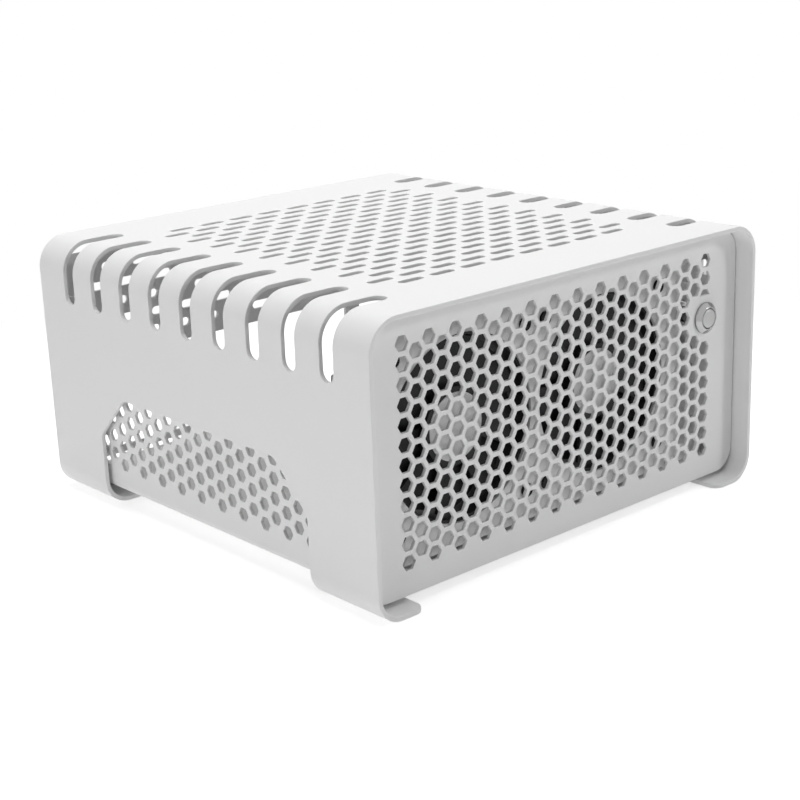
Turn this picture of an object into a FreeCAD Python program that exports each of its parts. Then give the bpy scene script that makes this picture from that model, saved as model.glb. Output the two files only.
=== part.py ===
"""Mini-ITX media-centre computer case with a folded, vented shell and a honeycomb front.

Millimetres. +Z up, -Y is the front, origin at the middle of the footprint on the table.
"""
import FreeCAD, Part
import math
import os

# Outer shell: one folded sheet, open at the front and the rear
shell_width = 228.0
shell_depth = 230.0
shell_height = 120.0
shell_sheet = 2.0
shell_bend = 14.0
foot_bend = 12.0
foot_reach = 24.0
foot_length = 41.0
tab_length = 35.0
tab_corner = 8.0
cutout_height = 55.0
cutout_chamfer_run = 20.0
cutout_chamfer_rise = 20.0
cutout_corner = 6.0

# Slots that wrap round the two long top bends
slot_count = 9
slot_pitch = 22.6
slot_width = 8.0
slot_reach = 30.0
slot_drop = 27.5
slot_end_facets = 4

# Vents in the flat of the top and in the rear panel, in staggered rows
vent_length = 12.5
vent_width = 4.0
vent_pitch = 17.0
vent_row_pitch = 8.7
vent_end_border = 34.5
vent_side_border = 9.5
rear_vent_border = 6.0

# Honeycomb front panel
panel_sheet = 1.5
panel_inset = 9.0
panel_gap = 0.5
panel_lift = 2.0
panel_corner = 10.0
comb_pitch = 8.0
comb_hole = 6.0
comb_border = 8.5
comb_side_border = 16.0
comb_rise = 0.75

# Push button in the last column of the comb, with the pitches below the first row that it sits at
button_drop = 3.25
button_keep_out = 9.6
button_keep_rise = 1.0
trimmed_hole_share = 0.25
bezel_radius = 7.1
bezel_height = 2.6
bezel_slope_run = 2.0
bezel_slope_rise = 1.6
barrel_radius = 5.9
barrel_length = 18.0
barrel_gap = 0.15
plunger_radius = 4.3
plunger_gap = 0.3
plunger_proud = 0.2
plunger_length = 6.0
plunger_travel = 1.2
nut_flats = 14.0
nut_height = 2.5
terminal_width = 2.0
terminal_sheet = 0.6
terminal_length = 6.0
terminal_spacing = 5.0

# Inner tray: floor and two sides, one folded sheet
tray_sheet = 1.5
tray_gap = 2.0
tray_bend = 4.0
tray_wall_height = 80.0
side_hole = 11.0
side_hole_rows = 3
side_row_pitch = 17.0
side_hole_lift = 18.0
side_hole_border = 14.0

# Fan wall, rear panel and the return flanges that fix them to the tray
post_length = 6.5
wall_sheet = 1.5
wall_top_gap = 6.0
wall_flange = 12.0
wall_flange_rise = 6.0
wall_bend = 2.5
wall_opening = 78.5
cable_slot_inner = 7.5
cable_slot_outer = 13.0
cable_slot_height = 84.0
rear_inset = 9.0
port_width = 158.75
port_height = 44.45
port_lift = 6.0
supply_width = 36.0
supply_height = 76.0
supply_lift = 4.5
supply_side_gap = 5.5

# Fans
fan_size = 80.0
fan_depth = 25.0
fan_flange = 4.0
fan_bore = 76.0
fan_pitch = 83.5
fan_shift = -10.65
fan_drop = 2.55
hub_radius = 16.5
hub_length = 12.0
hub_recess = 2.5
blade_count = 9
blade_gap = 1.5
blade_chord = 34.0
blade_root_chord = 16.0
blade_root_depth = 2.5
blade_tip_facets = 4
blade_thickness = 1.2
blade_pitch = 15.0
motor_seat_radius = 17.5
motor_seat_sheet = 3.0
strut_count = 4
strut_width = 4.0
strut_turn = 45.0
bearing_radius = 3.0
bearing_gap = 0.8
shaft_radius = 1.5
shaft_gap = 0.05

# Posts and spacers
post_flats = 6.0
post_side_inset = 12.0
post_end_inset = 4.0
post_foot_inset = 2.0
spacer_height = 6.0
spacer_flats = 8.0
spacer_side_inset = 16.5
spacer_end_inset = 19.0

# Board posts: the four hole places of a mini-ITX board, from its rear left corner
board_size = 170.0
board_side_gap = 1.5
board_rear_gap = 1.0
board_post_height = 6.5
board_post_flats = 6.0
board_post_bore = 1.25
board_hole_side = 6.35
board_hole_span = 157.48
board_hole_near = 10.16
board_hole_step = 22.86
board_hole_run = 154.94

# Places that several pieces share
cut_over = 1.0
half_width = shell_width / 2
front_y = -shell_depth / 2
rear_y = shell_depth / 2
panel_y = front_y + panel_inset
wall_y = panel_y + panel_sheet + post_length
fan_y = wall_y + wall_sheet
rear_panel_y = rear_y - rear_inset - wall_sheet
tray_side = half_width - shell_sheet - tray_gap
tray_inner = tray_side - tray_sheet
tray_z = shell_sheet + spacer_height
floor_z = tray_z + tray_sheet
wall_z = tray_z + tray_bend
tray_depth = rear_panel_y + wall_sheet - wall_y
wall_top = shell_height - shell_sheet - wall_top_gap
fan_height = (floor_z + shell_height - shell_sheet) / 2 - fan_drop
panel_side = half_width - shell_sheet - panel_gap
panel_top = shell_height - shell_sheet - panel_gap
panel_bottom = shell_sheet + panel_lift
comb_step = comb_pitch * math.sqrt(3) / 2
comb_room = panel_top - panel_bottom - 2 * comb_border - comb_hole
comb_side_room = 2 * (panel_side - comb_side_border - comb_hole / math.sqrt(3))
comb_rows = int(comb_room / comb_pitch) + 1
comb_columns = int(comb_side_room / comb_step) + 1
comb_height = (panel_top + panel_bottom) / 2 + comb_rise
comb_top = comb_height + (comb_rows - 1) * comb_pitch / 2
button_x = (comb_columns - 1) / 2 * comb_step
button_z = comb_top - button_drop * comb_pitch
vent_rows = int((shell_depth - 2 * vent_end_border - vent_width) / vent_row_pitch) + 1
vent_columns = int((shell_width - 2 * (slot_reach + vent_side_border) - vent_length) / vent_pitch)
port_top = floor_z + port_lift + port_height
rear_vent_rows = int((wall_top - port_top - 2 * rear_vent_border - vent_width) / vent_row_pitch) + 1
rear_vent_columns = int((port_width - vent_length) / vent_pitch)
board_shift = board_size / 2 + board_side_gap - tray_inner
supply_offset = tray_inner - supply_side_gap - supply_width / 2


def vec(x, y, z):
    return FreeCAD.Vector(x, y, z)


def polygon_face(points):
    return Part.Face(Part.makePolygon(points + [points[0]]))


def box(low, high):
    size = high - low
    return Part.makeBox(size.x, size.y, size.z, low)


def regular_polygon(centre, flats, up, side, count=6):
    """Corners of a regular polygon with two flats square to up; side is the other way in its plane."""
    corner = flats / 2 / math.cos(math.pi / count)
    points = []
    for step in range(count):
        angle = math.pi / 2 + math.pi * (2 * step + 1) / count
        points.append(centre + side * (corner * math.cos(angle)) + up * (corner * math.sin(angle)))
    return points


def rounded_plate_wire(outline, radii, y):
    """Closed outline of (x, z) corners, each rounded by its own radius, in the plane at y."""
    edges = []
    ends = []
    count = len(outline)
    for index in range(count):
        corner = vec(outline[index][0], y, outline[index][1])
        before = vec(outline[index - 1][0], y, outline[index - 1][1])
        after = vec(outline[(index + 1) % count][0], y, outline[(index + 1) % count][1])
        into = (corner - before).normalize()
        away = (after - corner).normalize()
        reach = radii[index] * math.tan(into.getAngle(away) / 2)
        start = corner - into * reach
        end = corner + away * reach
        bisector = (away - into).normalize()
        centre_distance = math.hypot(reach, radii[index])
        middle = corner + bisector * (centre_distance - radii[index])
        ends.append((start, middle, end))
    for index in range(count):
        start, middle, end = ends[index]
        following = ends[(index + 1) % count][0]
        edges.append(Part.Arc(start, middle, end).toShape())
        if (following - end).Length > 1e-6:
            edges.append(Part.LineSegment(end, following).toShape())
    return Part.Wire(edges)


def mirrored(shape):
    return shape.mirror(vec(0, 0, 0), vec(1, 0, 0))


def save(name, shape):
    shape.exportStep(os.path.join("parts", name + ".step"))


def bent_strip_wire(stations, inner_offset, y):
    """Outline of a folded sheet: stations are (x, z, outer radius) along its outer face."""
    outer = []
    inner = []
    for index, (x, z, radius) in enumerate(stations):
        point = vec(x, y, z)
        if index in (0, len(stations) - 1):
            neighbour = stations[1] if index == 0 else stations[-2]
            along = (vec(neighbour[0], y, neighbour[1]) - point).normalize()
            if index:
                along = along * -1
            normal = vec(along.z, 0, -along.x)
            outer.append((point, None, point))
            inner.append((point + normal * inner_offset, None, point + normal * inner_offset))
            continue
        before = vec(stations[index - 1][0], y, stations[index - 1][1])
        after = vec(stations[index + 1][0], y, stations[index + 1][1])
        into = (point - before).normalize()
        away = (after - point).normalize()
        centre = point - into * radius + away * radius
        outward = (point - centre).normalize()
        for store, size in ((outer, radius), (inner, radius - inner_offset)):
            store.append((centre - away * size, centre + outward * size, centre + into * size))
    edges = []
    for store in (outer, inner):
        for index, (start, middle, end) in enumerate(store):
            if middle is not None:
                edges.append(Part.Arc(start, middle, end).toShape())
            if index + 1 < len(store):
                edges.append(Part.LineSegment(end, store[index + 1][0]).toShape())
    edges.append(Part.LineSegment(outer[0][0], inner[0][0]).toShape())
    edges.append(Part.LineSegment(outer[-1][2], inner[-1][2]).toShape())
    return Part.Wire(Part.__sortEdges__(edges))


def side_cutout():
    """Tool for the cut-out between the feet, through both sides."""
    x = -half_width - cut_over
    front = front_y + foot_length
    tab = front_y + tab_length
    step = foot_length - tab_length
    outline = [
        vec(x, tab, -cut_over),
        vec(x, tab, foot_bend - step),
        vec(x, front, foot_bend),
        vec(x, front, cutout_height - cutout_chamfer_rise),
        vec(x, front + cutout_chamfer_run, cutout_height),
    ]
    outline += [vec(p.x, -p.y, p.z) for p in reversed(outline)]
    tool = polygon_face(outline).extrude(vec(shell_width + 2 * cut_over, 0, 0))
    round_edges = []
    for edge in tool.Edges:
        middle = edge.CenterOfMass
        if edge.Length > shell_width and abs(middle.z - cutout_height) < 1e-6:
            round_edges.append(edge)
    return tool.makeFillet(cutout_corner, round_edges)


def slot_end(centre, along, across):
    """Points of a slot's rounded end, a few flats each, since there are many slots."""
    points = []
    for step in range(slot_end_facets + 1):
        angle = math.pi * (step / slot_end_facets - 0.5)
        reach = along * math.cos(angle) + across * math.sin(angle)
        points.append(centre + reach * (slot_width / 2))
    return points


def slot_tools(y):
    """The two cutters of one wrap-round slot on the left: through the top and through the side."""
    half = slot_width / 2
    outside = -half_width - cut_over
    bend_z = shell_height - shell_bend
    across = vec(0, 1, 0)
    back = [vec(outside, y + half, bend_z), vec(outside, y - half, bend_z)]
    top_end = vec(-half_width + slot_reach - half, y, bend_z)
    top = polygon_face(slot_end(top_end, vec(1, 0, 0), across) + back)
    side_end = vec(outside, y, shell_height - slot_drop + half)
    side = polygon_face(slot_end(side_end, vec(0, 0, -1), across) + back)
    rise = vec(0, 0, shell_bend + cut_over)
    return [top.extrude(rise), side.extrude(vec(shell_bend + cut_over, 0, 0))]


def vent_places(rows, columns):
    """Middles of staggered vents about the middle of their field; every second row has one more."""
    places = []
    for row in range(rows):
        count = columns + row % 2
        for column in range(count):
            along = (column - (count - 1) / 2) * vent_pitch
            across = (row - (rows - 1) / 2) * vent_row_pitch
            places.append((along, across))
    return places


def foot_places():
    places = []
    for side in (-1, 1):
        for end in (-1, 1):
            x = side * (half_width - spacer_side_inset)
            y = end * (rear_y - spacer_end_inset)
            places.append((x, y))
    return places


def outer_shell():
    stations = [
        (-half_width + foot_reach, 0, 0),
        (-half_width, 0, foot_bend),
        (-half_width, shell_height, shell_bend),
        (half_width, shell_height, shell_bend),
        (half_width, 0, foot_bend),
        (half_width - foot_reach, 0, 0),
    ]
    profile = Part.Face(bent_strip_wire(stations, shell_sheet, front_y))
    shell = profile.extrude(vec(0, shell_depth, 0)).cut(side_cutout())
    tab_edges = []
    for edge in shell.Edges:
        middle = edge.CenterOfMass
        upright = abs(edge.Length - shell_sheet) < 1e-6 and middle.z < shell_sheet
        if upright and abs(abs(middle.x) - half_width + foot_reach) < 1e-6:
            tab_edges.append(edge)
    shell = shell.makeFillet(tab_corner, tab_edges)
    tools = []
    for index in range(slot_count):
        y = (index - (slot_count - 1) / 2) * slot_pitch
        for tool in slot_tools(y):
            tools += [tool, mirrored(tool)]
    reach = vec(vent_length / 2, vent_width / 2, shell_sheet + cut_over)
    for x, y in vent_places(vent_rows, vent_columns):
        middle = vec(x, y, shell_height)
        tools.append(box(middle - reach, middle + reach))
    return shell.cut(Part.makeCompound(tools)).removeSplitter()


def comb_faces():
    """Hexagons of the comb as flat faces; those under the button are left out or trimmed."""
    faces = []
    keep_out_z = button_z + button_keep_rise
    keep_out = Part.Face(Part.Wire(Part.makeCircle(
        button_keep_out, vec(button_x, panel_y, keep_out_z), vec(0, 1, 0))))
    for column in range(comb_columns):
        rows = comb_rows - column % 2
        x = (column - (comb_columns - 1) / 2) * comb_step
        for row in range(rows):
            z = comb_height + ((rows - 1) / 2 - row) * comb_pitch
            centre = vec(x, panel_y, z)
            face = polygon_face(regular_polygon(centre, comb_hole, vec(0, 0, 1), vec(1, 0, 0)))
            if math.hypot(x - button_x, z - keep_out_z) > button_keep_out + comb_hole / 2:
                faces.append(face)
                continue
            for rest in face.cut(keep_out).Faces:
                if rest.Area > face.Area * trimmed_hole_share:
                    faces.append(rest)
    return faces


def front_panel():
    top_corner = shell_bend - shell_sheet - panel_gap
    outline = [(-panel_side, panel_bottom), (panel_side, panel_bottom)]
    outline += [(panel_side, panel_top), (-panel_side, panel_top)]
    radii = [panel_corner, panel_corner, top_corner, top_corner]
    holes = [face.OuterWire for face in comb_faces()]
    holes.append(Part.Wire(Part.makeCircle(
        barrel_radius + barrel_gap, vec(button_x, panel_y, button_z), vec(0, 1, 0))))
    plate = Part.Face([rounded_plate_wire(outline, radii, panel_y)] + holes, "Part::FaceMakerBullseye")
    return plate.extrude(vec(0, panel_sheet, 0))


def hex_rod(centre, flats, length, axis, side):
    up = axis.cross(side)
    return polygon_face(regular_polygon(centre, flats, up, side)).extrude(axis * length)


def panel_standoffs():
    posts = []
    for x in (post_side_inset - half_width, half_width - post_side_inset):
        for z in (wall_z + post_foot_inset, wall_top - post_end_inset):
            posts.append(hex_rod(
                vec(x, panel_y + panel_sheet, z), post_flats, post_length, vec(0, 1, 0), vec(1, 0, 0)))
    return Part.makeCompound(posts)


def flanged_wall(y, back):
    """Plate with a return flange along each tray side; back is +1 or -1, the way the flanges point."""
    side = tray_inner
    wall_height = wall_top - wall_z
    outer_face = y if back > 0 else y + wall_sheet
    reach = outer_face + back * wall_flange
    stations = [(-side, reach), (-side, outer_face), (side, outer_face), (side, reach)]
    inner_side = side - wall_sheet
    inner_face = outer_face + back * wall_sheet
    outline = [vec(x, v, wall_z) for x, v in stations]
    outline += [
        vec(inner_side, reach, wall_z),
        vec(inner_side, inner_face, wall_z),
        vec(-inner_side, inner_face, wall_z),
        vec(-inner_side, reach, wall_z),
    ]
    wall = polygon_face(outline).extrude(vec(0, 0, wall_height))
    outer_edges = []
    inner_edges = []
    for edge in wall.Edges:
        middle = edge.CenterOfMass
        upright = abs(edge.Length - wall_height) < 1e-6
        if upright and abs(middle.y - outer_face) < 1e-6:
            outer_edges.append(edge)
    wall = wall.makeFillet(wall_bend, outer_edges)
    for edge in wall.Edges:
        middle = edge.CenterOfMass
        upright = abs(edge.Length - wall_height) < 1e-6
        at_corner = abs(middle.y - inner_face) < 1e-6 and abs(abs(middle.x) - inner_side) < 1e-6
        if upright and at_corner:
            inner_edges.append(edge)
    wall = wall.makeFillet(wall_bend - wall_sheet, inner_edges)
    flange_start = outer_face + back * wall_bend
    flange_end = reach + back * cut_over
    flange_top = tray_z + tray_wall_height + wall_flange_rise
    low = vec(-side - cut_over, min(flange_start, flange_end), flange_top)
    high = vec(side + cut_over, max(flange_start, flange_end), wall_top + cut_over)
    return wall.cut(box(low, high))


def fan_centres():
    return [fan_shift - fan_pitch / 2, fan_shift + fan_pitch / 2]


def through_plate(y, sheet, x_low, x_high, z_low, z_high):
    low = vec(x_low, y - cut_over, z_low)
    return box(low, vec(x_high, y + sheet + cut_over, z_high))


def fan_wall():
    wall = flanged_wall(wall_y, 1)
    start = wall_y - cut_over
    depth = wall_sheet + 2 * cut_over
    tools = []
    for fan_x in fan_centres():
        centre = vec(fan_x, start, fan_height)
        tools.append(Part.makeCylinder(wall_opening / 2, depth, centre, vec(0, 1, 0)))
    tools.append(through_plate(
        wall_y, wall_sheet,
        button_x - cable_slot_inner, button_x + cable_slot_outer,
        fan_height - cable_slot_height / 2, fan_height + cable_slot_height / 2))
    return wall.cut(Part.makeCompound(tools))


def rear_panel():
    panel = flanged_wall(rear_panel_y, -1)
    port = through_plate(
        rear_panel_y, wall_sheet, board_shift - port_width / 2, board_shift + port_width / 2,
        floor_z + port_lift, port_top)
    supply = through_plate(
        rear_panel_y, wall_sheet, supply_offset - supply_width / 2, supply_offset + supply_width / 2,
        floor_z + supply_lift, floor_z + supply_lift + supply_height)
    tools = [port, supply]
    for along, across in vent_places(rear_vent_rows, rear_vent_columns):
        x = board_shift + along
        z = (port_top + wall_top) / 2 + across
        tools.append(through_plate(
            rear_panel_y, wall_sheet, x - vent_length / 2, x + vent_length / 2,
            z - vent_width / 2, z + vent_width / 2))
    return panel.cut(Part.makeCompound(tools))


def side_hole_tools():
    """Cutters through both tray sides: a coarser comb with the open share of the real, finer one."""
    step = side_row_pitch * math.sqrt(3) / 2
    room = tray_depth - 2 * side_hole_border - 2 * side_hole / math.sqrt(3)
    columns = int(room / step) + 1
    outside = tray_side + cut_over
    tools = []
    for column in range(columns):
        y = wall_y + tray_depth / 2 + (column - (columns - 1) / 2) * step
        for row in range(side_hole_rows):
            z = tray_z + side_hole_lift + (row + column % 2 / 2) * side_row_pitch
            outline = regular_polygon(vec(-outside, y, z), side_hole, vec(0, 0, 1), vec(0, 1, 0))
            tools.append(polygon_face(outline).extrude(vec(2 * outside, 0, 0)))
    return tools


def chassis_tray():
    top = tray_z + tray_wall_height
    stations = [
        (tray_side, top, 0),
        (tray_side, tray_z, tray_bend),
        (-tray_side, tray_z, tray_bend),
        (-tray_side, top, 0),
    ]
    profile = Part.Face(bent_strip_wire(stations, tray_sheet, wall_y))
    tray = profile.extrude(vec(0, tray_depth, 0))
    return tray.cut(Part.makeCompound(side_hole_tools()))


def foot_spacers():
    spacers = []
    for x, y in foot_places():
        spacers.append(hex_rod(
            vec(x, y, shell_sheet), spacer_flats, spacer_height, vec(0, 0, 1), vec(1, 0, 0)))
    return Part.makeCompound(spacers)


def board_standoffs():
    left = board_shift - board_size / 2 + board_hole_side
    right = left + board_hole_span
    rear = rear_panel_y - board_rear_gap
    front = rear - board_hole_near - board_hole_run
    places = [
        (left, rear - board_hole_near - board_hole_step),
        (right, rear - board_hole_near),
        (left, front),
        (right, front),
    ]
    posts = []
    for x, y in places:
        base = vec(x, y, floor_z)
        post = hex_rod(base, board_post_flats, board_post_height, vec(0, 0, 1), vec(1, 0, 0))
        posts.append(post.cut(Part.makeCylinder(board_post_bore, board_post_height, base)))
    return Part.makeCompound(posts)


def fan_frame(fan_x):
    half = fan_size / 2
    centre = vec(fan_x, fan_y, fan_height)
    along = vec(0, 1, 0)
    flange = box(centre + vec(-half, 0, -half), centre + vec(half, fan_flange, half))
    rear = flange.translated(vec(0, fan_depth - fan_flange, 0))
    bore = fan_bore / 2
    waist = regular_polygon(centre, fan_size, vec(0, 0, 1), vec(1, 0, 0), 8)
    duct = polygon_face(waist).extrude(along * fan_depth)
    frame = flange.fuse([rear, duct]).cut(Part.makeCylinder(bore, fan_depth, centre, along))
    seat_place = centre + vec(0, fan_depth - motor_seat_sheet, 0)
    seat = Part.makeCylinder(motor_seat_radius, motor_seat_sheet, seat_place, along)
    struts = []
    for index in range(strut_count):
        strut = box(
            seat_place + vec(0, 0, -strut_width / 2),
            seat_place + vec(bore + cut_over, motor_seat_sheet, strut_width / 2))
        strut.rotate(seat_place, along, strut_turn + 360 * index / strut_count)
        struts.append(strut)
    frame = frame.fuse([seat] + struts)
    bearing_hole = Part.makeCylinder(bearing_radius, motor_seat_sheet, seat_place, along)
    return frame.cut(bearing_hole).removeSplitter()


def fan_bearing(fan_x):
    """Plain sleeve pressed in the motor seat; it reaches forward to just behind the hub."""
    hub_back = fan_y + hub_recess + hub_length
    start = hub_back + bearing_gap
    length = fan_y + fan_depth - start
    place = vec(fan_x, start, fan_height)
    along = vec(0, 1, 0)
    sleeve = Part.makeCylinder(bearing_radius, length, place, along)
    return sleeve.cut(Part.makeCylinder(shaft_radius + shaft_gap, length, place, along))


def fan_blade(axis):
    """One flat, pitched blade along +X from inside the hub, its tip rounded to the bore by a few flats."""
    angle = math.radians(blade_pitch)
    chord = vec(0, math.sin(angle), math.cos(angle))
    normal = vec(0, math.cos(angle), -math.sin(angle))
    reach = fan_bore / 2 - blade_gap
    base = axis + vec(0, hub_length / 2, 0) - normal * (blade_thickness / 2)
    root = base + vec(hub_radius - blade_root_depth, 0, 0)
    outline = [root + chord * (blade_root_chord / 2), root - chord * (blade_root_chord / 2)]
    for step in range(blade_tip_facets + 1):
        along = blade_chord * (step / blade_tip_facets - 0.5)
        radial = math.sqrt(reach ** 2 - (along * math.cos(angle)) ** 2)
        outline.append(base + vec(radial, 0, 0) + chord * along)
    return polygon_face(outline).extrude(normal * blade_thickness)


def fan_rotor(fan_x):
    axis = vec(fan_x, fan_y + hub_recess, fan_height)
    along = vec(0, 1, 0)
    hub = Part.makeCylinder(hub_radius, hub_length, axis, along)
    shaft_length = fan_depth - hub_recess - motor_seat_sheet / 2
    shaft = Part.makeCylinder(shaft_radius, shaft_length, axis, along)
    blade = fan_blade(axis)
    blades = []
    for index in range(blade_count):
        placed = blade.copy()
        placed.rotate(axis, along, 360 * index / blade_count)
        blades.append(placed)
    return hub.fuse(blades + [shaft]).removeSplitter()


def turned(points, x, z):
    """Solid turned about the axis along Y through (x, z), from (radius, y) points."""
    face = polygon_face([vec(x + radius, y, z) for radius, y in points])
    return face.revolve(vec(x, 0, z), vec(0, 1, 0), 360)


def button_body():
    front = panel_y - bezel_height
    bore = plunger_radius + plunger_gap
    well = front + plunger_length + plunger_travel + plunger_gap
    end = panel_y + barrel_length
    points = [
        (bore, front),
        (bezel_radius - bezel_slope_run, front),
        (bezel_radius, front + bezel_slope_rise),
        (bezel_radius, panel_y),
        (barrel_radius, panel_y),
        (barrel_radius, end),
        (0, end),
        (0, well),
        (bore, well),
    ]
    return turned(points, button_x, button_z)


def button_plunger():
    front = panel_y - bezel_height - plunger_proud
    points = [
        (0, front),
        (plunger_radius, front),
        (plunger_radius, front + plunger_length),
        (0, front + plunger_length),
    ]
    return turned(points, button_x, button_z)


def button_nut():
    base = vec(button_x, panel_y + panel_sheet, button_z)
    along = vec(0, 1, 0)
    nut = hex_rod(base, nut_flats, nut_height, along, vec(1, 0, 0))
    return nut.cut(Part.makeCylinder(barrel_radius + barrel_gap, nut_height, base, along))


def button_terminals():
    end = panel_y + barrel_length
    tags = []
    for side in (-1, 1):
        x = button_x + side * terminal_spacing / 2
        low = vec(x - terminal_sheet / 2, end, button_z - terminal_width / 2)
        high = vec(x + terminal_sheet / 2, end + terminal_length, button_z + terminal_width / 2)
        tags.append(box(low, high))
    return Part.makeCompound(tags)


os.makedirs("parts", exist_ok=True)
save("outer_shell", outer_shell())
save("front_panel", front_panel())
save("panel_standoffs", panel_standoffs())
save("fan_wall", fan_wall())
save("chassis_tray", chassis_tray())
save("rear_panel", rear_panel())
save("foot_spacers", foot_spacers())
save("board_standoffs", board_standoffs())
for fan_name, fan_centre in zip(("fan_left", "fan_right"), fan_centres()):
    save(fan_name + "_frame", fan_frame(fan_centre))
    save(fan_name + "_bearing", fan_bearing(fan_centre))
    save(fan_name + "_rotor", fan_rotor(fan_centre))
save("button_body", button_body())
save("button_plunger", button_plunger())
save("button_nut", button_nut())
save("button_terminals", button_terminals())
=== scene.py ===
"""Looks of the media-centre computer case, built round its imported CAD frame, in metres."""
import math
import bmesh
import bpy
from mathutils import Matrix, Vector


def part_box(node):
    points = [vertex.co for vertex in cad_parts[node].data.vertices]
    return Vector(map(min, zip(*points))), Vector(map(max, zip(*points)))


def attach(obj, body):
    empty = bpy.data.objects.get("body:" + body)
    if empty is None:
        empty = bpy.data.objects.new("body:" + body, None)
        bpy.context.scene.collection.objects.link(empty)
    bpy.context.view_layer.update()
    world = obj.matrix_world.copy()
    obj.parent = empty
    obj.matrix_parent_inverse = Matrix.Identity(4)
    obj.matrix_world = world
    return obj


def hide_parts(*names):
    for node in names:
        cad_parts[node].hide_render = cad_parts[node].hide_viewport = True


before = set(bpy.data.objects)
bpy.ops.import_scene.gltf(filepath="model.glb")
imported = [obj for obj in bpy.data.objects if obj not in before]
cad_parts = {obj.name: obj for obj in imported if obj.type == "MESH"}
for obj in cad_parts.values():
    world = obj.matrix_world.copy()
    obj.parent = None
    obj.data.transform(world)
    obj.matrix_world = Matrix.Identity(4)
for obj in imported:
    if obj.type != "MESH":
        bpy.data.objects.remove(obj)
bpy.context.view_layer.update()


# Outer shell: one sheet of aluminium, laser-cut flat, folded over the top and curled under as feet.
# It is coated with white powder, which rounds every cut edge and leaves a faint orange peel.
# Screws from below fix its foot tabs to the tray, so nothing shows on the outside.
SHELL_SHEET = 0.002
SHELL_BEND = 0.014
SHELL_BEND_STEPS = 16
FOOT_BEND = 0.012
FOOT_BEND_STEPS = 12
FOOT_REACH = 0.024
FOOT_LENGTH = 0.041
TAB_CORNER = 0.005
CUTOUT_TOP = 0.055
CUTOUT_CHAMFER = 0.020
CUTOUT_CORNER = 0.006
SLOT_COUNT = 9
SLOT_PITCH = 0.0226
SLOT_WIDTH = 0.008
SLOT_REACH = 0.030
SLOT_DROP = 0.0275
VENT_ROWS = 19
VENT_COLUMNS = 8
VENT_PITCH = 0.017
VENT_ROW_PITCH = 0.0087
VENT_LENGTH = 0.0125
VENT_WIDTH = 0.004
FOOT_SCREW_INSET = 0.0165
FOOT_SCREW_END = 0.019
FOOT_SCREW_HOLE = 0.0066
COAT_EDGE = 0.0003
COAT_WHITE = (0.86, 0.86, 0.86)
COAT_DARKEST = 0.975
COAT_SMOOTHEST = 0.42
COAT_ROUGHEST = 0.52
CLOUD_SCALE = 14
PEEL_SCALE = 900
PEEL_STRENGTH = 0.10
PEEL_DEPTH = 0.0002
MERGE_DISTANCE = 1e-6
STRAIGHT_TURN = 1e-4
SQUARE_FACE = 0.9995
SHARP_ANGLE = math.radians(28)

shell_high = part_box("outer_shell")[1]
shell_half = shell_high.x
shell_top = shell_high.z
shell_end = shell_high.y
top_flat = shell_half - SHELL_BEND
bend_run = math.pi / 2 * SHELL_BEND
side_start = top_flat + bend_run
foot_start = side_start + shell_top - SHELL_BEND - FOOT_BEND
foot_run = math.pi / 2 * FOOT_BEND
tab_start = foot_start + foot_run
tab_end = tab_start + FOOT_REACH - FOOT_BEND


def rounded_outline(corners, steps=6):
    """Closed outline of (u, v, radius) corners, each round one drawn as an arc of a few steps."""
    points = []
    for index, (u, v, radius) in enumerate(corners):
        corner = Vector((u, v))
        into = (corner - Vector(corners[index - 1][:2])).normalized()
        away = (Vector(corners[(index + 1) % len(corners)][:2]) - corner).normalized()
        turn = into.angle(away)
        if radius == 0 or turn < STRAIGHT_TURN:
            points.append(corner)
            continue
        reach = radius * math.tan(turn / 2)
        centre = corner + (away - into).normalized() * math.hypot(reach, radius)
        start = corner - into * reach - centre
        side = 1 if into.cross(away) > 0 else -1
        for step in range(steps + 1):
            points.append(centre + Matrix.Rotation(side * turn * step / steps, 2) @ start)
    return points


def slot_outline(u, v, length, width, steps=8):
    """Round-ended slot that runs along u; a circle where length and width are the same."""
    points = []
    for end in (1, -1):
        for step in range(steps + 1):
            angle = math.pi * (step / steps - 0.5)
            reach = (length - width) / 2 + width / 2 * math.cos(angle)
            points.append(Vector((u + end * reach, v + end * width / 2 * math.sin(angle))))
    return points


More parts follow.
